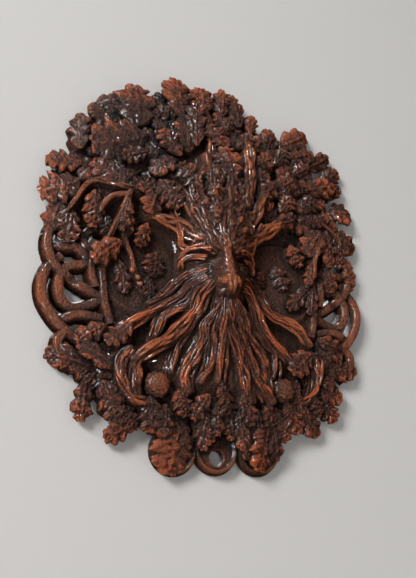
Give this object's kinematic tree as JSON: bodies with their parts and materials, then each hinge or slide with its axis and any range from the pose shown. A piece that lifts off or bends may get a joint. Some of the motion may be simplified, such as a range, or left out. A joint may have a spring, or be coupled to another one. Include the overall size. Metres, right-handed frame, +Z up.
{
  "type": "green man wall plaque",
  "caption": "Flat-backed wall plaque carved in relief: a foliate mask in a tree trunk, oak leaves above and below, a beard of roots, and pierced knotwork at the sides.",
  "frame": {"origin": "on the flat back, where it meets the wall, behind the bridge of the mask's nose", "axes": "+Z up the wall, +X to the right for someone facing the plaque, and +Y into the wall, so the carving faces -Y"},
  "size_m": [0.2104, 0.0338, 0.2439],
  "materials": {
    "bronzed_resin": "dark reddish brown paint rubbed with copper on the raised carving, under gloss varnish"
  },
  "bodies": {
    "root": {"green_man_plaque": "bronzed_resin"}
  },
  "joints": []
}
